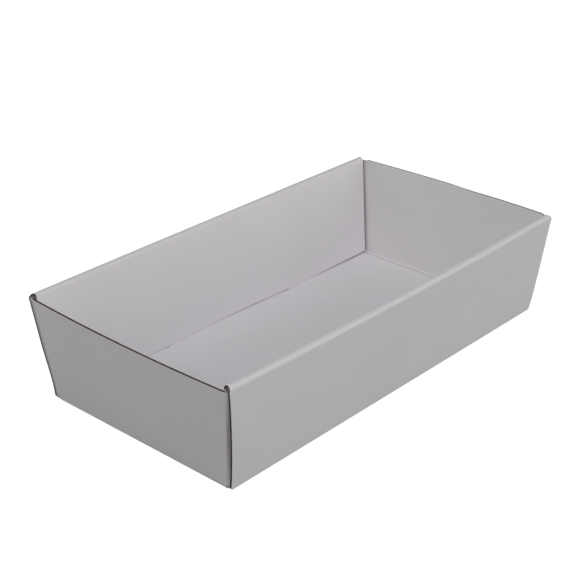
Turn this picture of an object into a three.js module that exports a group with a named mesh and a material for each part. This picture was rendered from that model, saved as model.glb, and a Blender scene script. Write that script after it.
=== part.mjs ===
// Die cut self locking tray: one sheet of fluted board, cut, creased and folded.
// Millimetres, +Z up, +X along the tray, origin at the middle of the underside.
//
// The flat blank is a net of cells. Its columns run across the tray and its rows along it,
// counted from the middle of the floor outwards, so one quarter describes all four:
//   floor      the cells inside both creases, less the four lock slots
//   end wall   the columns past the end crease
//   side wall  the rows past the side crease: outer panel, rolled-over top, inner panel, lock tabs
//   flap       the corner past both, hinged on the end wall and shut in by the side wall
// Every corner of the net is put where the folded board's middle surface is, both liners are laid
// half a board to each side of it, and the cut edges are closed all round. Where a cut crosses the
// flutes, its edge is a channel between the two liners.
import * as THREE from "three";

// Outside sizes, over the board's outer faces
const HEIGHT = 80;
const BASE_LENGTH = 326;
const BASE_WIDTH = 168;
const TOP_LENGTH = 342.5;
const TOP_WIDTH = 186.5;
const END_WALL_HEIGHT = 77.2;
const END_WALL_CREST = 1;
const BOARD = 1.5;

// Cut edges that cross the flutes stand open between the two liners
const LINER = 0.24;
const OPEN_EDGE_DEPTH = 1.8;

// Folds: radius of the board's middle surface and number of facets
const FOOT = { radius: 1.9, steps: 5 };
const OUTER_SHOULDER = { radius: 2.3, steps: 6 };
const INNER_SHOULDER = { radius: 1.8, steps: 5 };
const CORNER = { radius: 2, steps: 5 };

// Rolled-over side wall
const ROLL_WIDTH = 6.2;
const ROLL_WIDTH_AT_FLOOR = 6.2;
const ROLL_SETBACK = 0.6;
const FLOOR_GAP = 0.3;
const CORNER_TRIM = 1.7;
const INNER_PANEL_SPRING = 1.9;
const INNER_PANEL_PUSH = 1.8;

// Locks: tabs on the inner panels through slots beside the side creases
const TAB_CENTRE = 83;
const TAB_WIDTH = 37;
const TAB_END_ABOVE_UNDERSIDE = 0.25;
const SLOT_LEAD_IN = 3.5;
const SLOT_PLAY = 0.8;
const SLOT_SLANT = 3;

// Dust flaps
const FLAP_LENGTH = 58;
const FLAP_CLEARANCE = 0.3;
const FLAP_TAPER = 9;
const FLAP_FOOT = 3.2;

// Outward bulge of each wall at the middle of its top edge
const BULGE = { sideNear: 2.8, sideFar: 0.4, endNear: 2.6, endFar: 3 };

const half = BOARD / 2;
const sideLean = Math.atan((TOP_WIDTH - BASE_WIDTH) / 2 / HEIGHT);
const endLean = Math.atan((TOP_LENGTH - BASE_LENGTH) / 2 / HEIGHT);
const sideFace = (z) => BASE_WIDTH / 2 + z * Math.tan(sideLean);
const endFace = (z) => BASE_LENGTH / 2 + z * Math.tan(endLean);
const sideMiddle = (z) => sideFace(z) - half / Math.cos(sideLean);
const endMiddle = (z) => endFace(z) - half / Math.cos(endLean);

// Even steps from one value to another, without the first one
function spread(from, to, steps) {
  return Array.from({ length: steps }, (_, k) => from + ((to - from) * (k + 1)) / steps);
}

// Stations along the board in section. Each corner of the guide line is rounded by an arc, and a
// straight stretch gets the number of rows asked for. square points to the board's inner side.
function bentStations(guide) {
  const stations = [];
  const turned = (heading, angle) => heading.clone().rotateAround(new THREE.Vector2(), angle);
  const add = (at, heading, part) => stations.push({ at, square: turned(heading, Math.PI / 2), part });
  const straight = (from, to, heading, parts) => {
    parts.forEach((part) => add(from.clone().lerp(to, part), heading, 1));
  };
  guide.forEach((corner, k) => {
    if (k === 0) return;
    const before = corner.at.clone().sub(guide[k - 1].at).normalize();
    const last = stations.at(-1);
    if (k === guide.length - 1) {
      straight(last.at, corner.at, before, spread(0, 1, corner.rows));
      return;
    }
    const after = guide[k + 1].at.clone().sub(corner.at).normalize();
    const turn = Math.acos(THREE.MathUtils.clamp(before.dot(after), -1, 1));
    const start = corner.at.clone().addScaledVector(before, -corner.fold.radius * Math.tan(turn / 2));
    const centre = start.clone().addScaledVector(turned(before, Math.PI / 2), corner.fold.radius);
    if (last) straight(last.at, start, before, spread(0, 1, corner.rows).slice(0, -1));
    for (let step = 0; step <= corner.fold.steps; step += 1) {
      const part = step / corner.fold.steps;
      const heading = turned(before, turn * part);
      add(centre.clone().addScaledVector(turned(heading, -Math.PI / 2), corner.fold.radius), heading, part);
    }
  });
  return stations;
}

// Section of the side wall, from the floor's edge over the roll to the end of the lock tabs
const rollTop = HEIGHT - half;
const innerMiddleAtFloor = sideFace(BOARD) - ROLL_WIDTH_AT_FLOOR + half / Math.cos(sideLean);
const innerMiddleAtTop = sideMiddle(rollTop) - ROLL_WIDTH + BOARD / Math.cos(sideLean);
const innerMiddle = (z) =>
  THREE.MathUtils.mapLinear(z, BOARD, rollTop, innerMiddleAtFloor, innerMiddleAtTop);
const panelEnd = BOARD + FLOOR_GAP;
const side = bentStations([
  { at: new THREE.Vector2(0, half) },
  { at: new THREE.Vector2(sideMiddle(half), half), fold: FOOT },
  { at: new THREE.Vector2(sideMiddle(rollTop), rollTop), fold: OUTER_SHOULDER, rows: 3 },
  { at: new THREE.Vector2(innerMiddle(rollTop), rollTop), fold: INNER_SHOULDER, rows: 1 },
  { at: new THREE.Vector2(innerMiddle(panelEnd), panelEnd), rows: 3 },
]);
side.push({
  at: new THREE.Vector2(innerMiddle(TAB_END_ABOVE_UNDERSIDE), TAB_END_ABOVE_UNDERSIDE),
  square: side.at(-1).square,
});
const outerPanelTop = FOOT.steps + 3;
const rollFlat = outerPanelTop + OUTER_SHOULDER.steps;
const innerPanelTop = rollFlat + 1 + INNER_SHOULDER.steps;
const tabStation = side.length - 1;

// Section of the end wall, from the floor's edge to the cut top edge
const end = bentStations([
  { at: new THREE.Vector2(0, half) },
  { at: new THREE.Vector2(endMiddle(half), half), fold: FOOT },
  { at: new THREE.Vector2(endMiddle(FLAP_FOOT), FLAP_FOOT), rows: 1 },
]);
for (const z of spread(FLAP_FOOT, END_WALL_HEIGHT, 3)) {
  end.push({ at: new THREE.Vector2(endMiddle(z), z), square: end.at(-1).square });
}
const flapStation = FOOT.steps + 1;

// Columns and rows of the floor, which the walls carry on
const floorLength = end[0].at.x;
const floorWidth = side[0].at.x;
const tabFrom = TAB_CENTRE - TAB_WIDTH / 2;
const tabTo = TAB_CENTRE + TAB_WIDTH / 2;
const slotFrom = tabFrom - SLOT_LEAD_IN;
const slotTo = tabTo + SLOT_PLAY;
const slotInner = innerMiddle(0) - half / Math.cos(sideLean) - FLOOR_GAP;
const slotOuter = innerMiddle(BOARD) + half / Math.cos(sideLean) + FLOOR_GAP;
const columns = [0, ...spread(0, slotFrom, 3), tabFrom, ...spread(tabFrom, tabTo, 2), slotTo,
  ...spread(slotTo, floorLength, 4)];
const rows = [0, ...spread(0, slotInner, 4), slotOuter, floorWidth];
const lastColumn = columns.length - 1;
const lastRow = rows.length - 1;
const columnOf = (x) => columns.indexOf(x);
const rowOf = (y) => rows.indexOf(y);

// Half length of the side wall at a station: flush with the end wall's outer face on the outer
// panel, and inside the end wall on the inner panel, so that the roll's open ends stand back.
function sideReach(station) {
  const { at, part } = side[station];
  const flush = endFace(at.y);
  const inside = flush - BOARD / Math.cos(endLean) - ROLL_SETBACK;
  if (station <= FOOT.steps) return THREE.MathUtils.lerp(floorLength, flush, part);
  if (station <= outerPanelTop) return flush;
  if (station <= rollFlat) return THREE.MathUtils.lerp(flush, inside, part);
  return inside;
}

// Floor
function floorPoint(column, row) {
  const slotEnd = column === columnOf(slotFrom) && row === rowOf(slotInner);
  const x = columns[column] - (slotEnd ? SLOT_SLANT : 0);
  return { at: new THREE.Vector3(x, rows[row], half), square: new THREE.Vector3(0, 0, 1) };
}

// Side wall. Between the locks the inner panel's free edge springs out against the outer panel.
// Past them it is cut short, and the flap behind it pushes it in, both most of all at the corner.
function sidePoint(column, station) {
  const { at, square } = side[station];
  const flat = columns[column];
  let y = at.x;
  let z = at.y;
  if (station >= innerPanelTop) {
    const free = Math.max(0, 1 - (flat / slotFrom) ** 2);
    const pushed = Math.max(0, (flat - tabTo) / (floorLength - tabTo));
    y += (INNER_PANEL_SPRING * free ** 2 - INNER_PANEL_PUSH * pushed ** 2) * (1 - z / HEIGHT);
  }
  if (station === tabStation - 1 && flat > tabTo) {
    const trim = THREE.MathUtils.mapLinear(flat, tabTo, floorLength, 0.3, CORNER_TRIM);
    y += trim * Math.sin(sideLean);
    z += trim * Math.cos(sideLean);
  }
  const x = (flat / floorLength) * sideReach(station);
  return { at: new THREE.Vector3(x, y, z), square: new THREE.Vector3(0, square.x, square.y) };
}

// Corner fold between the end wall and the flap, at a height of the end wall. ridge is the line in
// which the middle surfaces of both would meet, and the fold rounds it off.
const flapMiddle = (z) => sideFace(z) - (BOARD + FLAP_CLEARANCE + half) / Math.cos(sideLean);
const ridge = new THREE.Vector3(Math.tan(endLean), Math.tan(sideLean), 1).normalize();
const endSquare = new THREE.Vector3(-Math.cos(endLean), 0, Math.sin(endLean));
const flapSquare = new THREE.Vector3(0, -Math.cos(sideLean), Math.sin(sideLean));
const alongEnd = new THREE.Vector3().crossVectors(ridge, endSquare).normalize();
const alongFlap = new THREE.Vector3().crossVectors(flapSquare, ridge).normalize();
if (alongEnd.y > 0) alongEnd.negate();
if (alongFlap.x > 0) alongFlap.negate();
const cornerTurn = Math.PI - alongEnd.angleTo(alongFlap);
const cornerReach = CORNER.radius * Math.tan(cornerTurn / 2);

function cornerFold(z) {
  const start = new THREE.Vector3(endMiddle(z), flapMiddle(z) + alongEnd.y * cornerReach, z);
  const centre = start.clone().addScaledVector(endSquare, CORNER.radius);
  return { start, centre };
}

// End wall. Its cut top stands higher between the side walls than beside their rolls.
function endPoint(station, row) {
  const { at, square } = end[station];
  const edge = cornerFold(Math.max(at.y, FLAP_FOOT)).start.y;
  const reach = station === 0 ? floorWidth : edge;
  const y = (rows[row] / floorWidth) * reach;
  const crested = station === end.length - 1 && row <= rowOf(slotInner);
  const rise = crested ? END_WALL_CREST : 0;
  const point = new THREE.Vector3(at.x + rise * Math.tan(endLean), y, at.y + rise);
  return { at: point, square: new THREE.Vector3(square.x, 0, square.y) };
}

// Dust flap: the corner fold's facets, then the flat, which tapers to its free end
const flapColumns = 3;
function flapPoint(station, step) {
  const z = end[station].at.y;
  const fold = cornerFold(z);
  if (step <= CORNER.steps) {
    const angle = (cornerTurn * step) / CORNER.steps;
    const square = endSquare.clone().applyAxisAngle(ridge, angle);
    return { at: fold.centre.clone().addScaledVector(square, -CORNER.radius), square };
  }
  const part = (step - CORNER.steps) / flapColumns;
  const middle = (FLAP_FOOT + END_WALL_HEIGHT) / 2;
  const narrowed = z - (FLAP_TAPER * part * (z - middle)) / (END_WALL_HEIGHT - middle);
  const from = flapPoint(station, CORNER.steps).at;
  const x = from.x - FLAP_LENGTH * part;
  const y = from.y + (narrowed - z) * Math.tan(sideLean);
  return { at: new THREE.Vector3(x, y, narrowed + from.z - z), square: flapSquare.clone() };
}

// Bulge of the walls: nothing at the floor and at the corners, most at the middle of the top edge
function bulge(point) {
  const height = point.z / HEIGHT;
  const x = point.x / endFace(point.z);
  const y = point.y / sideFace(point.z);
  const nearWall = (part) => THREE.MathUtils.smoothstep(Math.abs(part), 0.6, 0.85) * Math.sign(part);
  const sideBulge = point.y > 0 ? BULGE.sideFar : BULGE.sideNear;
  const endBulge = point.x > 0 ? BULGE.endFar : BULGE.endNear;
  point.x += endBulge * height * Math.max(0, 1 - y ** 2) * nearWall(x);
  point.y += sideBulge * height * Math.max(0, 1 - x ** 2) * nearWall(y);
  return point;
}

// The net's corner on the folded board, for signed column and row numbers
function netCorner(i, j) {
  const column = Math.abs(i);
  const row = Math.abs(j);
  const pastEnd = column - lastColumn;
  const pastSide = row - lastRow;
  let corner;
  if (pastEnd <= 0 && pastSide <= 0) corner = floorPoint(column, row);
  else if (pastSide <= 0) corner = endPoint(pastEnd, row);
  else if (pastEnd <= 0) corner = sidePoint(column, pastSide);
  else corner = flapPoint(pastEnd, pastSide);
  const mirror = new THREE.Vector3(Math.sign(i) || 1, Math.sign(j) || 1, 1);
  return { at: corner.at.multiply(mirror), square: corner.square.multiply(mirror) };
}

// Whether a cell is board or cut away, counted in its own quarter
function isBoard(i, j) {
  const column = i < 0 ? -i - 1 : i;
  const row = j < 0 ? -j - 1 : j;
  const pastEnd = column - lastColumn;
  const pastSide = row - lastRow;
  if (pastEnd >= end.length - 1 || pastSide >= tabStation) return false;
  const inSlot = column >= columnOf(slotFrom) && column < columnOf(slotTo);
  const inTab = column >= columnOf(tabFrom) && column < columnOf(tabTo);
  if (pastEnd < 0 && pastSide < 0) return !(inSlot && row === rowOf(slotInner));
  if (pastSide < 0) return true;
  if (pastEnd < 0) return pastSide < tabStation - 1 || inTab;
  return pastEnd >= flapStation && pastSide < CORNER.steps + flapColumns;
}

// Flutes run along X in the flat blank, so a cut edge that faces outwards along X crosses them. Such
// edges are the end walls' tops, the flaps' tops and the side walls' ends. A short one, such as a
// slot's or a tab's end, is crushed shut.
function crossesFlutes(i, j) {
  const outwards = i < 0 ? -1 : 1;
  return isBoard(i, j) && !isBoard(i + outwards, j);
}

function opens(i, j) {
  return crossesFlutes(i, j) && (crossesFlutes(i, j - 1) || crossesFlutes(i, j + 1));
}

// The folded board as one closed surface
function foldedBoard() {
  const positions = [];
  const triangles = [];
  const numbers = new Map();

  // layer is -1 on the outer liner's face and 1 on the inner one's, and depth is how far the point
  // lies back from the cut edge
  function vertex(i, j, layer, depth = 0) {
    const key = `${i} ${j} ${layer} ${depth}`;
    if (!numbers.has(key)) {
      const { at, square } = netCorner(i, j);
      const inwards = netCorner(i - Math.sign(i), j).at.sub(at).normalize();
      const point = bulge(at.addScaledVector(square, layer * half).addScaledVector(inwards, depth));
      numbers.set(key, positions.length / 3);
      positions.push(point.x, point.y, point.z);
    }
    return numbers.get(key);
  }

  function triangle(a, b, c) {
    if (a !== b && b !== c && c !== a) triangles.push(a, b, c);
  }

  function quad(a, b, c, d) {
    triangle(a, b, c);
    triangle(a, c, d);
  }

  // Section through a cut edge at one corner of the net, from the outer face to the inner one. An
  // open edge runs out to a plain one at both ends.
  function edgeSection(i, j, open) {
    const outer = vertex(i, j, -1);
    const inner = vertex(i, j, 1);
    if (!open) return [outer, outer, outer, inner, inner, inner];
    const core = 1 - LINER / half;
    const [lower, upper] = [-core, core];
    const walls = [[lower, 0], [lower, OPEN_EDGE_DEPTH], [upper, OPEN_EDGE_DEPTH], [upper, 0]];
    return [outer, ...walls.map(([layer, depth]) => vertex(i, j, layer, depth)), inner];
  }

  function openEdge(i, j, from, to) {
    const goesOn = ([, q]) => opens(i, q - 1) && opens(i, q);
    const first = edgeSection(...from, goesOn(from));
    const second = edgeSection(...to, goesOn(to));
    for (let k = 0; k < first.length - 1; k += 1) quad(first[k], second[k], second[k + 1], first[k + 1]);
  }

  const columnReach = lastColumn + end.length - 1;
  const rowReach = lastRow + tabStation;
  for (let i = -columnReach; i < columnReach; i += 1) {
    for (let j = -rowReach; j < rowReach; j += 1) {
      if (!isBoard(i, j)) continue;
      const ring = [[i, j], [i + 1, j], [i + 1, j + 1], [i, j + 1]];
      const inner = ring.map(([p, q]) => vertex(p, q, 1));
      const outer = ring.map(([p, q]) => vertex(p, q, -1));
      quad(...inner);
      quad(outer[3], outer[2], outer[1], outer[0]);
      const neighbours = [[i, j - 1], [i + 1, j], [i, j + 1], [i - 1, j]];
      neighbours.forEach(([p, q], k) => {
        const next = (k + 1) % 4;
        if (isBoard(p, q)) return;
        const outwards = Math.abs(p + 0.5) > Math.abs(i + 0.5);
        if (q === j && outwards && opens(i, j)) openEdge(i, j, ring[k], ring[next]);
        else quad(outer[k], outer[next], inner[next], inner[k]);
      });
    }
  }

  const geometry = new THREE.BufferGeometry();
  geometry.setAttribute("position", new THREE.Float32BufferAttribute(positions, 3));
  geometry.setIndex(triangles);
  geometry.computeVertexNormals();
  return geometry;
}

const board = new THREE.MeshStandardMaterial({ color: 0xd9d7d8, roughness: 0.82, metalness: 0 });
const tray = new THREE.Mesh(foldedBoard(), board);
tray.name = "folded_tray";

const group = new THREE.Group();
group.add(tray);
export default group;
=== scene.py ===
import math

import bmesh
import bpy
from mathutils import Matrix, Vector


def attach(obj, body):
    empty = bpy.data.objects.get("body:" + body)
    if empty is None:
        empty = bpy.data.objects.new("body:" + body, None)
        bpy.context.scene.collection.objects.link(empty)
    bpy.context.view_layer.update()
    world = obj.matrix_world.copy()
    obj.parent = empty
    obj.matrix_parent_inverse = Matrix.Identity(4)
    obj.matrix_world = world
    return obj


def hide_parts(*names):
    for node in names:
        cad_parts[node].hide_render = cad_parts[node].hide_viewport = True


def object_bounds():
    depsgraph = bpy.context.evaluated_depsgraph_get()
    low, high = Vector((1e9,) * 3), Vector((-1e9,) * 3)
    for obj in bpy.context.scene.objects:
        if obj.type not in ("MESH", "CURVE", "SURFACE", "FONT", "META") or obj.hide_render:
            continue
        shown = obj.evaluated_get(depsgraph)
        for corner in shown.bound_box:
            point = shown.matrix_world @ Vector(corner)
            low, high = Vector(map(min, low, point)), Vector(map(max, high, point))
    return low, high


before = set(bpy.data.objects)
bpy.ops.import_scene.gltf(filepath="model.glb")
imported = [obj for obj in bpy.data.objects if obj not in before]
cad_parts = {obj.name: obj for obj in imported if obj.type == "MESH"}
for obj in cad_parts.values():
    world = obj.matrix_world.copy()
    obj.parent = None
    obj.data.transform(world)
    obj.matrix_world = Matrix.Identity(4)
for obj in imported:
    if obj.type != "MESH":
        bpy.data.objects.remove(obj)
cad_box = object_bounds()

# Picture-taking place
# A long lens looks down on the tray from beyond its near left corner, and the far walls show
# their inner faces. Angles are counted as on a turntable, from the tray's near long wall.
CAMERA_PLACE = Vector((-0.6547, -0.5823, 0.4824))
CAMERA_AZIMUTH = math.radians(-47.61)
CAMERA_ELEVATION = math.radians(26.27)
CAMERA_ROLL = math.radians(-0.35)
FOCAL_IN_FRAME_WIDTHS = 2.3724
SENSOR = 36.0
NEAREST_SEEN = 0.01

camera_data = bpy.data.cameras.new("camera")
camera_data.sensor_width = SENSOR
camera_data.lens = SENSOR * FOCAL_IN_FRAME_WIDTHS
camera_data.clip_start = NEAREST_SEEN
camera = bpy.data.objects.new("camera", camera_data)
bpy.context.scene.collection.objects.link(camera)
turn = Matrix.Rotation(CAMERA_AZIMUTH, 4, "Z")
tilt = Matrix.Rotation(math.pi / 2 - CAMERA_ELEVATION, 4, "X")
roll = Matrix.Rotation(CAMERA_ROLL, 4, "Z")
camera.matrix_world = Matrix.Translation(CAMERA_PLACE) @ turn @ tilt @ roll
bpy.context.scene.camera = camera

# Papers of the folded board
# The board's faces are white liner: smooth matt paper, slightly cloudy, with fine fibres, and with the
# flutes under it just felt as shallow ribs. The flutes run along the tray, so the ribs lie along the
# floor and the long walls. Inside the board the paper is brown.
MM = 0.001
LINER_COLOUR = (0.830, 0.812, 0.818, 1)
LINER_CLOUD = (0.888, 0.872, 0.894, 1)
CLOUD_SCALE = 16
SPECK_SCALE = 420
SPECK_SHARE = 0.35
FIBRE_SCALE = 1600
FIBRE_HEIGHT = 0.04 * MM
SMOOTHEST = 0.68
FIBRE_ROUGHNESS = 0.16
LINER_GLOSS = 0.3
# Colour of the painted shade along the floor's creases at the end walls
CREASE_SHADE_COLOUR = (0.69, 0.67, 0.68, 1)
CREASE_FROM_MIDDLE = 158.6 * MM
CREASE_HEIGHT = 1.5 * MM
CREASE_CORE = 0.4 * MM
CREASE_REACH = 1.3 * MM
FLUTE_PITCH = 3.4 * MM
RIB_HEIGHT = 0.01 * MM
LONG_WALL_FACING = 0.6
PULP_SCALE = 900
PULP_HEIGHT = 0.03 * MM
BROWN_ROUGHNESS = 0.85


class Finish:
    """A material, and the node patterns that it is made of."""

    def __init__(self, name):
        self.material = bpy.data.materials.new(name)
        self.material.use_nodes = True
        self.nodes = self.material.node_tree.nodes
        self.links = self.material.node_tree.links
        self.shader = self.nodes["Principled BSDF"]
        self.place = self.nodes.new("ShaderNodeTexCoord").outputs["Object"]

    def connect(self, value, socket):
        if isinstance(value, bpy.types.NodeSocket):
            self.links.new(value, socket)
        else:
            socket.default_value = value

    def noise(self, scale, detail, roughness=0.5):
        pattern = self.nodes.new("ShaderNodeTexNoise")
        pattern.inputs["Scale"].default_value = scale
        pattern.inputs["Detail"].default_value = detail
        pattern.inputs["Roughness"].default_value = roughness
        self.links.new(self.place, pattern.inputs["Vector"])
        return pattern.outputs["Fac"]

    def calculate(self, operation, *values):
        node = self.nodes.new("ShaderNodeMath")
        node.operation = operation
        for socket, value in zip(node.inputs, values):
            self.connect(value, socket)
        return node.outputs["Value"]

    def mix(self, part, one, other, kind="RGBA"):
        node = self.nodes.new("ShaderNodeMix")
        node.data_type = kind
        for name, value in (("Factor", part), ("A", one), ("B", other)):
            self.connect(value, node.inputs[name])
        return node.outputs["Result"]

    def parts(self, vector):
        node = self.nodes.new("ShaderNodeSeparateXYZ")
        self.links.new(vector, node.inputs["Vector"])
        return node.outputs["X"], node.outputs["Y"], node.outputs["Z"]

    def close_to(self, distance, core, reach):
        node = self.nodes.new("ShaderNodeMapRange")
        node.interpolation_type = "SMOOTHSTEP"
        node.inputs["From Min"].default_value = core
        node.inputs["From Max"].default_value = reach
        node.inputs["To Min"].default_value = 1
        node.inputs["To Max"].default_value = 0
        self.links.new(distance, node.inputs["Value"])
        return node.outputs["Result"]

    def raise_by(self, height, distance, strength, under=None):
        bump = self.nodes.new("ShaderNodeBump")
        bump.inputs["Strength"].default_value = strength
        bump.inputs["Distance"].default_value = distance
        self.links.new(height, bump.inputs["Height"])
        if under:
            self.links.new(under, bump.inputs["Normal"])
        self.links.new(bump.outputs["Normal"], self.shader.inputs["Normal"])
        return bump.outputs["Normal"]


def white_liner():
    paper = Finish("white_liner")
    x, y, z = paper.parts(paper.place)
    clouds = paper.noise(CLOUD_SCALE, 4)
    specks = paper.noise(SPECK_SCALE, 2)
    fibres = paper.noise(FIBRE_SCALE, 4, 0.65)
    speckle = paper.calculate("MULTIPLY_ADD", specks, SPECK_SHARE, -SPECK_SHARE / 2)
    tone = paper.mix(paper.calculate("ADD", clouds, speckle), LINER_COLOUR, LINER_CLOUD)

    # Painted shade: the floor is darkened along the fold before each end wall, as shade in the crease
    inward = paper.calculate("SUBTRACT", paper.calculate("ABSOLUTE", x), CREASE_FROM_MIDDLE)
    upward = paper.calculate("SUBTRACT", z, CREASE_HEIGHT)
    squares = [paper.calculate("MULTIPLY", length, length) for length in (inward, upward)]
    away = paper.calculate("SQRT", paper.calculate("ADD", *squares))
    crease_shade = paper.close_to(away, CREASE_CORE, CREASE_REACH)
    paper.connect(paper.mix(crease_shade, tone, CREASE_SHADE_COLOUR), paper.shader.inputs["Base Color"])
    roughness = paper.calculate("MULTIPLY_ADD", fibres, FIBRE_ROUGHNESS, SMOOTHEST)
    paper.connect(roughness, paper.shader.inputs["Roughness"])
    paper.shader.inputs["Specular IOR Level"].default_value = LINER_GLOSS

    # Ribs follow each other in height on the long walls, and across the tray elsewhere
    facing = paper.parts(paper.nodes.new("ShaderNodeNewGeometry").outputs["Normal"])
    on_long_wall = paper.calculate("GREATER_THAN", paper.calculate("ABSOLUTE", facing[1]), LONG_WALL_FACING)
    across = paper.mix(on_long_wall, y, z, "FLOAT")
    wave = paper.calculate("SINE", paper.calculate("MULTIPLY", across, 2 * math.pi / FLUTE_PITCH))
    skin = paper.raise_by(wave, RIB_HEIGHT, 0.5)
    paper.raise_by(fibres, FIBRE_HEIGHT, 0.3, skin)
    return paper.material


def brown_paper(name, dark, light):
    paper = Finish(name)
    pulp = paper.noise(PULP_SCALE, 3, 0.6)
    paper.connect(paper.mix(pulp, dark, light), paper.shader.inputs["Base Color"])
    paper.raise_by(pulp, PULP_HEIGHT, 0.5)
    paper.shader.inputs["Roughness"].default_value = BROWN_ROUGHNESS
    return paper.material


# Folded board
# The tray is one die-cut sheet, folded up and locked by its own tabs. The CAD's sheet is taken over
# with its folds, and sprung a little further, as the one in the photograph is. Places on it are
# told, in millimetres, by how far they lie below the outer faces of the end walls and long walls.
HEIGHT = 80.0
BASE_HALF_LENGTH = 163.0
BASE_HALF_WIDTH = 84.0
END_RUN = 8.25 / HEIGHT
SIDE_RUN = 9.25 / HEIGHT
END_BULGE_NEAR = 2.6
END_BULGE_FAR = 3.0
SIDE_BULGE_NEAR = 2.8
SIDE_BULGE_FAR = 0.4
END_WALL_TOP = 77.2
ROLLS_FROM = 77.25
FLOOR_TOP = 1.5
FLOOR_FACE = 1.51
WALL_LAYER = 1.7
INNER_PANEL_LAYER = 4.0
FLAP_LENGTH = 64.0
ROLL_REACH = 6.4


def eased(low, high, value):
    part = min(1.0, max(0.0, (value - low) / (high - low)))
    return part * part * (3 - 2 * part)


def fading(distance, reach):
    return math.exp(-((distance / reach) ** 2))


def end_face(x, y, z):
    bulge = END_BULGE_FAR if x > 0 else END_BULGE_NEAR
    across = y / (BASE_HALF_WIDTH + z * SIDE_RUN)
    return BASE_HALF_LENGTH + z * END_RUN + bulge * z / HEIGHT * max(0.0, 1 - across**2)


def side_bulge(x, y, z):
    bulge = SIDE_BULGE_FAR if y > 0 else SIDE_BULGE_NEAR
    along = x / (BASE_HALF_LENGTH + z * END_RUN)
    return bulge * z / HEIGHT * max(0.0, 1 - along**2)


class Spot:
    """A place on the folded board, in millimetres, and the parts of the board that it is on."""

    def __init__(self, point):
        self.x, self.y, self.z = point / MM
        self.bulge = side_bulge(self.x, self.y, self.z)
        self.under_end = end_face(self.x, self.y, self.z) - abs(self.x)
        self.under_side = BASE_HALF_WIDTH + self.z * SIDE_RUN + self.bulge - abs(self.y)
        below_rolls = self.z < ROLLS_FROM
        in_flap_layer = WALL_LAYER < self.under_side < INNER_PANEL_LAYER
        self.on_flap = below_rolls and self.under_end < FLAP_LENGTH and in_flap_layer
        end_wall_from = WALL_LAYER if below_rolls else ROLL_REACH
        self.on_end_wall = self.under_end < WALL_LAYER and self.under_side > end_wall_from
        self.on_outer_panel = self.under_side < WALL_LAYER
        self.on_inner_panel = self.under_side > INNER_PANEL_LAYER
        self.on_roll = self.z > END_WALL_TOP and self.under_side < ROLL_REACH
        self.arched = math.sin(math.pi * min(1.0, self.z / END_WALL_TOP))


# Near end wall and its flaps: cut straight, sagging towards the near corner, and bulging more
NEAR_END_FOOT = 3.0
NEAR_END_HALF_WIDTH = 88.0
NEAR_END_SAG = 1.4
SAG_HEIGHTS = (40.0, END_WALL_TOP)
CREST = 1.0
CREST_ENDS = (84.0, 86.3)
CREST_HEIGHTS = (70.0, END_WALL_TOP + CREST)
NEAR_END_BULGE = 0.35


def near_end_wall(spot):
    if spot.x >= 0 or spot.z <= NEAR_END_FOOT or not (spot.on_flap or spot.on_end_wall):
        return 0, 0, 0
    nearness = min(1.0, max(0.0, 0.5 - spot.y / (2 * NEAR_END_HALF_WIDTH)))
    sag = NEAR_END_SAG * nearness * eased(*SAG_HEIGHTS, spot.z)
    crest = CREST * (1 - eased(*CREST_ENDS, abs(spot.y))) * eased(*CREST_HEIGHTS, spot.z)
    bulge = NEAR_END_BULGE * max(0.0, 1 - (spot.y / NEAR_END_HALF_WIDTH) ** 2) * spot.z / HEIGHT
    return -bulge, 0, -sag - crest


# Far end wall, and its corner folds with it: a little higher towards the right
FAR_END_LIFT = 0.6
FAR_END_LIFT_PLACES = (10.0, 50.0)
CORNER_FOLD_REACH = 3.0


def far_end_wall(spot):
    on_corner_fold = spot.on_flap and spot.under_end < CORNER_FOLD_REACH
    if spot.x <= 0 or not (spot.on_end_wall or on_corner_fold):
        return 0, 0, 0
    return 0, 0, FAR_END_LIFT * eased(*FAR_END_LIFT_PLACES, -spot.y) * eased(*SAG_HEIGHTS, spot.z)


# Near corner: the outer panel's free end stands back and bows out, and the flap's fold draws in
NEAR_SETBACK = 0.35
NEAR_SETBACK_REACH = 25.0
FOOT_HEIGHTS = (2.0, 12.0)
SHOULDER_HEIGHTS = (70.0, 79.0)
NEAR_BOW = 1.0
NEAR_BOW_REACH = 30.0
FLAP_DRAWN_IN = 1.4
FLAP_DRAWN_IN_REACH = 12.0
FLAP_FOLD = (0.0, 1.8)
FOLD_SHARE = 0.1


def near_corner(spot):
    if spot.x >= 0 or spot.y >= 0:
        return 0, 0, 0
    back = in_or_out = 0.0
    if spot.on_outer_panel or spot.on_roll:
        back = NEAR_SETBACK * fading(spot.under_end, NEAR_SETBACK_REACH)
        back *= eased(*FOOT_HEIGHTS, spot.z) * (1 - eased(*SHOULDER_HEIGHTS, spot.z))
        in_or_out -= NEAR_BOW * fading(spot.under_end, NEAR_BOW_REACH) * spot.arched
    if spot.on_flap:
        past_fold = FOLD_SHARE + (1 - FOLD_SHARE) * eased(*FLAP_FOLD, spot.under_end)
        in_or_out += FLAP_DRAWN_IN * spot.arched * past_fold * fading(spot.under_end, FLAP_DRAWN_IN_REACH)
    return back, in_or_out, 0


# Left corner: the outer panel's free end stands back near its foot, and the roll's end at its top
LEFT_SETBACK = 0.7
LEFT_SETBACK_REACH = 25.0
LEFT_FOOT_HEIGHTS = (0.0, 8.0)
LEFT_UPPER_HEIGHTS = (18.0, 40.0)
LEFT_ROLL_HEIGHTS = (77.0, 79.5)


def left_corner(spot):
    if spot.x >= 0 or spot.y <= 0:
        return 0, 0, 0
    share = 0.0
    if spot.on_outer_panel:
        share += eased(*LEFT_FOOT_HEIGHTS, spot.z) * (1 - eased(*LEFT_UPPER_HEIGHTS, spot.z))
    if spot.on_roll:
        share += eased(*LEFT_ROLL_HEIGHTS, spot.z)
    return LEFT_SETBACK * fading(spot.under_end, LEFT_SETBACK_REACH) * share, 0, 0


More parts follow.
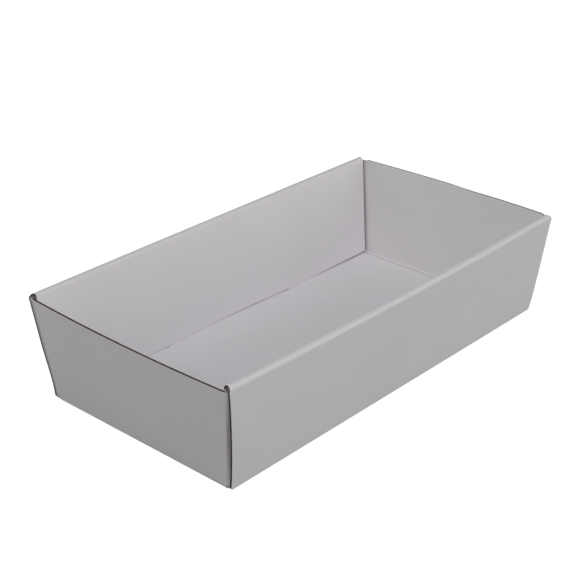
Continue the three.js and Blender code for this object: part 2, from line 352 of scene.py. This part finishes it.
# Far corner: the inner panel's end stands back from the end wall, more so at its foot
FAR_SETBACK = 1.4
FAR_SETBACK_AT_FOOT = 0.6
FAR_SETBACK_REACH = 15.0
FAR_SETBACK_END = 40.0
FAR_SETBACK_LAYERS = (1.5, 5.0)
CLEAR_OF_END_WALL = 1.8


def far_corner(spot):
    on_its_end = CLEAR_OF_END_WALL < spot.under_end < FAR_SETBACK_END
    if spot.x <= 0 or spot.y <= 0 or not on_its_end or not (spot.on_inner_panel or spot.on_roll):
        return 0, 0, 0
    setback = FAR_SETBACK + FAR_SETBACK_AT_FOOT * (1 - spot.z / HEIGHT)
    share = fading(spot.under_end, FAR_SETBACK_REACH) * eased(*FAR_SETBACK_LAYERS, spot.under_side)
    return -setback * share, 0, 0


# Foot of the far inner panel: pushed in, with its lock, towards the far corner, down on the floor
# towards the left corner, and clear of the floor just before the lock
LOCK_ENDS = (56.0, 105.0)
SLOT_EDGES = (77.0, 80.5)
PUSHED_IN = 1.3
PUSHED_IN_PLACES = (-40.0, 20.0)
PUSHED_IN_FURTHER = 0.7
PUSHED_IN_FURTHER_PLACES = (60.0, 140.0)
HELD_BACK = 0.6
HELD_BACK_PLACES = (146.0, 159.0)
FOOT_DROP = 0.27
FOOT_DROP_PLACES = (-60.0, 20.0)
FOOT_LIFT = 0.4
FOOT_LIFT_START = (-10.0, 20.0)
FOOT_LIFT_END = (56.0, 64.0)


def far_foot(spot):
    beside_slot = SLOT_EDGES[0] < spot.y < SLOT_EDGES[1]
    on_lock = LOCK_ENDS[0] < spot.x < LOCK_ENDS[1] and beside_slot and spot.z < FLOOR_FACE
    on_panel = spot.y > 0 and spot.on_inner_panel and spot.z > FLOOR_TOP
    inward = lift = 0.0
    if on_lock or (on_panel and spot.under_end > CLEAR_OF_END_WALL):
        push = PUSHED_IN * eased(*PUSHED_IN_PLACES, spot.x)
        push += PUSHED_IN_FURTHER * eased(*PUSHED_IN_FURTHER_PLACES, spot.x)
        push *= 1 - HELD_BACK * eased(*HELD_BACK_PLACES, spot.x)
        inward = push * max(0.0, 1 - spot.z / END_WALL_TOP)
    if on_panel:
        lift -= FOOT_DROP * (1 - eased(*FOOT_DROP_PLACES, spot.x))
        lift += FOOT_LIFT * eased(*FOOT_LIFT_START, spot.x) * (1 - eased(*FOOT_LIFT_END, spot.x))
        lift *= 1 - eased(*FOOT_HEIGHTS, spot.z)
    return 0, -inward, lift


# Slots in the floor: shorter at their inner ends, and the right ones closer to their tabs
SLOT_SHORTER = 3.0
SLOT_INNER_END = (56.0, 62.0)
SLOT_CLOSER = 0.25
SLOT_INNER_EDGE = 78.3


def slots(spot):
    if spot.z >= FLOOR_FACE or not SLOT_EDGES[0] < abs(spot.y) < SLOT_EDGES[1]:
        return 0, 0, 0
    if SLOT_INNER_END[0] < abs(spot.x) < SLOT_INNER_END[1]:
        return math.copysign(SLOT_SHORTER, spot.x), 0, 0
    if 0 < spot.x < LOCK_ENDS[1] and abs(spot.y) < SLOT_INNER_EDGE:
        return 0, math.copysign(SLOT_CLOSER, spot.y), 0
    return 0, 0, 0


# Right end of the near long wall: its roll leans in and comes down, and the base's corner draws in
LEAN_IN = 0.5
LEAN_IN_PLACES = (60.0, 168.0)
LEAN_IN_HEIGHTS = (30.0, HEIGHT)
LEAN_DOWN_HEIGHTS = (70.0, HEIGHT)
ROLL_END_DROP = 0.7
ROLL_END_PLACES = (150.0, 171.0)
ROLL_END_HEIGHTS = (77.0, HEIGHT)
BASE_DRAWN_IN = 1.2
BASE_CORNER_PLACES = (130.0, 163.0)
BASE_CORNER_WIDTHS = (50.0, 84.0)
BASE_CORNER_HEIGHTS = (0.0, 14.0)


def right_end(spot):
    if spot.x <= 0 or spot.y >= 0:
        return 0, 0, 0
    lean_in = LEAN_IN * eased(*LEAN_IN_PLACES, spot.x)
    down = lean_in * eased(*LEAN_DOWN_HEIGHTS, spot.z)
    down += ROLL_END_DROP * eased(*ROLL_END_PLACES, spot.x) * eased(*ROLL_END_HEIGHTS, spot.z)
    corner = eased(*BASE_CORNER_PLACES, spot.x) * eased(*BASE_CORNER_WIDTHS, -spot.y)
    drawn_in = BASE_DRAWN_IN * corner * (1 - eased(*BASE_CORNER_HEIGHTS, spot.z))
    return -drawn_in, lean_in * eased(*LEAN_IN_HEIGHTS, spot.z), -down


# Outer shoulder of the near long wall's roll: squarer than a round bend
SHOULDER_CENTRE = (89.83, 76.95)
SHOULDER_SQUARENESS = 3.0


def squared_shoulder(spot):
    out = abs(spot.y) - spot.bulge - SHOULDER_CENTRE[0]
    up = spot.z - SHOULDER_CENTRE[1]
    if spot.y >= 0 or out <= 0 or up <= 0:
        return 0, 0, 0
    power = SHOULDER_SQUARENESS
    stretch = math.hypot(out, up) / (out**power + up**power) ** (1 / power) - 1
    return 0, -out * stretch, up * stretch


SPRINGS = (near_end_wall, far_end_wall, near_corner, left_corner, far_corner, far_foot, slots, right_end,
           squared_shoulder)


def sprung(point):
    spot = Spot(point)
    dx, dy, dz = (sum(shifts) for shifts in zip(*(spring(spot) for spring in SPRINGS)))
    return Vector((spot.x + dx, spot.y + dy, spot.z + dz)) * MM


# Open edges of the board, where a cut crosses the flutes. Each rung is the channel's section at one
# place: lip, root, far root and far lip.
LINER_THICKNESS = 0.24 * MM
CHANNEL_WIDTH = 1.02 * MM
CHANNEL_DEPTH = 1.8 * MM
LENGTH_SLACK = 0.02
ROUNDING = 0.004 * MM
SAME_POINT = 0.002 * MM

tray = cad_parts["folded_tray"]
sheet = bmesh.new()
sheet.from_mesh(tray.data)
bmesh.ops.remove_doubles(sheet, verts=sheet.verts, dist=SAME_POINT)


def step(vert, length):
    for edge in vert.link_edges:
        if abs(edge.calc_length() - length) < LENGTH_SLACK * length + ROUNDING:
            return edge.other_vert(vert)
    return None


sections = {}
outer_lips = {}
for lip in sheet.verts:
    outer = step(lip, LINER_THICKNESS)
    root = step(lip, CHANNEL_DEPTH) if outer else None
    far_root = step(root, CHANNEL_WIDTH) if root else None
    far_lip = step(far_root, CHANNEL_DEPTH) if far_root else None
    if far_lip and step(far_lip, LINER_THICKNESS):
        sections[lip] = (lip, root, far_root, far_lip)
        outer_lips[lip] = outer


def along(lip):
    others = [edge.other_vert(lip) for edge in lip.link_edges]
    return [other for other in others if other in sections]


open_edges = []
done = set()
for start in sections:
    if start in done or len(along(start)) != 1:
        continue
    chain = [start]
    while True:
        onward = [lip for lip in along(chain[-1]) if lip not in chain]
        if not onward:
            break
        chain.append(onward[0])
    done.update(chain)
    done.update(sections[lip][3] for lip in chain)
    open_edges.append([[vert.co.copy() for vert in sections[lip]] for lip in chain])

# The liners' cut faces show their brown backs
cut_edge = set(outer_lips) | set(outer_lips.values())
for face in sheet.faces:
    if all(vert in cut_edge for vert in face.verts):
        face.material_index = 1

# Larger faces, with levels between foot and top, so that the walls can spring
FLAT_WITHIN = math.radians(8)
SQUARE_WITHIN = math.radians(70)
LEVEL_STEP = 10
ON_THE_LEVEL = 0.001 * MM

bmesh.ops.join_triangles(sheet, faces=sheet.faces, cmp_materials=True, angle_face_threshold=FLAT_WITHIN,
                         angle_shape_threshold=SQUARE_WITHIN)
for level in range(LEVEL_STEP, int(HEIGHT), LEVEL_STEP):
    bmesh.ops.bisect_plane(sheet, geom=sheet.verts[:] + sheet.edges[:] + sheet.faces[:], dist=ON_THE_LEVEL,
                           plane_co=(0, 0, level * MM), plane_no=(0, 0, 1))
for vert in sheet.verts:
    vert.co = sprung(vert.co)


def new_piece(name, mesh, *materials):
    data = bpy.data.meshes.new(name)
    mesh.to_mesh(data)
    mesh.free()
    for material in materials:
        data.materials.append(material)
    piece = bpy.data.objects.new(name, data)
    bpy.context.scene.collection.objects.link(piece)
    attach(piece, "root")
    return piece


SHARP_FROM = math.radians(32)
cut_paper = brown_paper("cut_liner", (0.20, 0.16, 0.13, 1), (0.34, 0.29, 0.25, 1))
board = new_piece("folded_board", sheet, white_liner(), cut_paper)
board.data.shade_smooth()
board.data.set_sharp_from_angle(angle=SHARP_FROM)
normals = board.modifiers.new("even_shading", "WEIGHTED_NORMAL")
normals.keep_sharp = True
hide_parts("folded_tray")

# Fluting in the open edges
# The brown corrugated medium between the liners is glued to their brown backs at the crest of each
# wave, and cut off level with them. It is a thin ribbon of paper in each open edge's channel, and a thin
# near-black sheet lines the channel's walls and root: the liners' brown backs with painted shade of the
# hollows.
MEDIUM_THICKNESS = 0.16 * MM
STEPS_PER_FLUTE = 12
MEDIUM_STANDS_BACK = 0.06
MEDIUM_OFF_ROOT = 0.04
WAVE_CLEARANCE = 0.08
LINING_THICKNESS = 0.02 * MM
LINING_STEP = 4
LINING_CLEARANCE = 0.025
LINING_STANDS_BACK = 0.03
LINING_OFF_ROOT = 0.02


def between(edge, distance):
    for one, two in zip(edge, edge[1:]):
        gap = (two[0] - one[0]).length
        if distance <= gap:
            return [a.lerp(b, distance / gap) for a, b in zip(one, two)]
        distance -= gap
    return edge[-1]


def ribbon(mesh, rows):
    lines = [[mesh.verts.new(sprung(point)) for point in row] for row in rows]
    for one, two in zip(lines, lines[1:]):
        for k in range(len(one) - 1):
            mesh.faces.new((one[k], one[k + 1], two[k + 1], two[k]))


def wave_row(section, turn):
    lip, root, far_root, far_lip = section
    swing = 1 - MEDIUM_THICKNESS / CHANNEL_WIDTH - WAVE_CLEARANCE
    part = 0.5 + 0.5 * swing * math.sin(turn)
    top = lip.lerp(far_lip, part)
    bottom = root.lerp(far_root, part)
    return [top.lerp(bottom, MEDIUM_STANDS_BACK), bottom.lerp(top, MEDIUM_OFF_ROOT)]


def lining_row(section):
    lip, root, far_root, far_lip = section
    near = lip.lerp(far_lip, LINING_CLEARANCE)
    far = far_lip.lerp(lip, LINING_CLEARANCE)
    near_low = root.lerp(far_root, LINING_CLEARANCE)
    far_low = far_root.lerp(root, LINING_CLEARANCE)
    return [near.lerp(near_low, LINING_STANDS_BACK), near_low.lerp(near, LINING_OFF_ROOT),
            far_low.lerp(far, LINING_OFF_ROOT), far.lerp(far_low, LINING_STANDS_BACK)]


def thicken(piece, thickness):
    wall = piece.modifiers.new("thickness", "SOLIDIFY")
    wall.thickness = thickness
    wall.offset = 0


medium = bmesh.new()
lining = bmesh.new()
for edge in open_edges:
    length = sum((two[0] - one[0]).length for one, two in zip(edge, edge[1:]))
    steps = int(length / FLUTE_PITCH * STEPS_PER_FLUTE)
    places = [between(edge, length * k / steps) for k in range(steps + 1)]
    ribbon(medium, [wave_row(place, 2 * math.pi * k / STEPS_PER_FLUTE) for k, place in enumerate(places)])
    ribbon(lining, [lining_row(place) for place in places[::LINING_STEP] + places[-1:]])

# The medium is coloured far darker than brown paper: its own brown with painted shade of the deep channel
medium_and_shade_paper = brown_paper("brown_medium_and_shade", (0.058, 0.044, 0.034, 1), (0.108, 0.084, 0.066, 1))
# The channel's lining is nearly black: painted shade of the hollows between the flutes over the liners'
# brown backs
back_and_shade_paper = brown_paper("liner_back_and_shade", (0.018, 0.014, 0.011, 1), (0.034, 0.027, 0.022, 1))
thicken(new_piece("fluted_medium", medium, medium_and_shade_paper), MEDIUM_THICKNESS)
thicken(new_piece("liner_backs_and_shade", lining, back_and_shade_paper), LINING_THICKNESS)

# Floor and backdrop
# A plain white sweep that runs out to white all round the tray. Under the tray it doesn't glow, so
# that the slots in the tray's floor stay dark.
FLOOR_SIZE = 6.0
FLOOR_DROP = 0.2 * MM
SWEEP_GREY = (0.35, 0.35, 0.35, 1)
SWEEP_ROUGHNESS = 0.9
SWEEP_GLOW = 0.9
UNDER_TRAY = (160 * MM, 81 * MM)

floor_mesh = bmesh.new()
bmesh.ops.create_grid(floor_mesh, x_segments=1, y_segments=1, size=FLOOR_SIZE / 2)
floor_data = bpy.data.meshes.new("studio_floor")
floor_mesh.to_mesh(floor_data)
floor_mesh.free()
floor = bpy.data.objects.new("studio_floor", floor_data)
floor.location.z = cad_box[0][2] - FLOOR_DROP
bpy.context.scene.collection.objects.link(floor)
sweep = Finish("white_sweep")
sweep.shader.inputs["Base Color"].default_value = SWEEP_GREY
sweep.shader.inputs["Roughness"].default_value = SWEEP_ROUGHNESS
sweep.shader.inputs["Emission Color"].default_value = (1, 1, 1, 1)
seen = sweep.nodes.new("ShaderNodeLightPath").outputs["Is Camera Ray"]
x, y, z = sweep.parts(sweep.place)
within = [sweep.calculate("COMPARE", place, 0, reach) for place, reach in zip((x, y), UNDER_TRAY)]
in_the_open = sweep.calculate("SUBTRACT", 1, sweep.calculate("MULTIPLY", *within))
glow = sweep.calculate("MULTIPLY", seen, sweep.calculate("MULTIPLY", in_the_open, SWEEP_GLOW))
sweep.connect(glow, sweep.shader.inputs["Emission Strength"])
floor_data.materials.append(sweep.material)

# Studio light
# Large soft boxes: three beyond the near long wall, high, low and to the right, one high on the left,
# a small low one near the left corner, and a weak one behind. The low ones are a little warmer, and
# the surroundings fill the shadows.
SURROUND = 0.11
WHITE = (1, 1, 1)
COOL = (0.985, 0.98, 1.03)
WARM = (1.03, 1.0, 0.93)
WARMER = (1.04, 1.0, 0.91)

world = bpy.data.worlds.new("studio")
bpy.context.scene.world = world
world.use_nodes = True
nodes = world.node_tree.nodes
links = world.node_tree.links
backdrop = nodes["Background"]
backdrop.inputs["Color"].default_value = (1, 1, 1, 1)
seen = nodes.new("ShaderNodeLightPath")
level = nodes.new("ShaderNodeMix")
level.inputs["A"].default_value = SURROUND
level.inputs["B"].default_value = 1.0
links.new(seen.outputs["Is Camera Ray"], level.inputs["Factor"])
links.new(level.outputs["Result"], backdrop.inputs["Strength"])


def soft_box(name, place, target, size, power, colour):
    data = bpy.data.lights.new(name, "AREA")
    data.color = colour
    data.shape = "SQUARE"
    data.size = size
    data.energy = power
    lamp = bpy.data.objects.new(name, data)
    aim = (Vector(target) - Vector(place)).to_track_quat("-Z", "Y")
    lamp.matrix_world = Matrix.Translation(place) @ aim.to_matrix().to_4x4()
    bpy.context.scene.collection.objects.link(lamp)


soft_box("front_high", (0.0, -1.1, 1.5), (0, 0, 0), 1.0, 8.8, COOL)
soft_box("front_low", (0.3, -1.9, 0.15), (0, 0, 0.04), 1.2, 5.2, WARM)
soft_box("front_right", (0.9, -1.5, 0.45), (0, 0, 0.04), 1.0, 4.8, WHITE)
soft_box("left_high", (-1.3, -0.2, 1.2), (0, 0, 0.04), 1.2, 6.3, WHITE)
soft_box("left_near", (-0.95, 0.75, 0.35), (0, 0, 0.04), 0.6, 1.7, WARMER)
soft_box("back_fill", (1.2, 1.4, 0.7), (0, 0, 0.04), 1.2, 3.5, WHITE)

bpy.context.scene.view_settings.view_transform = "Standard"
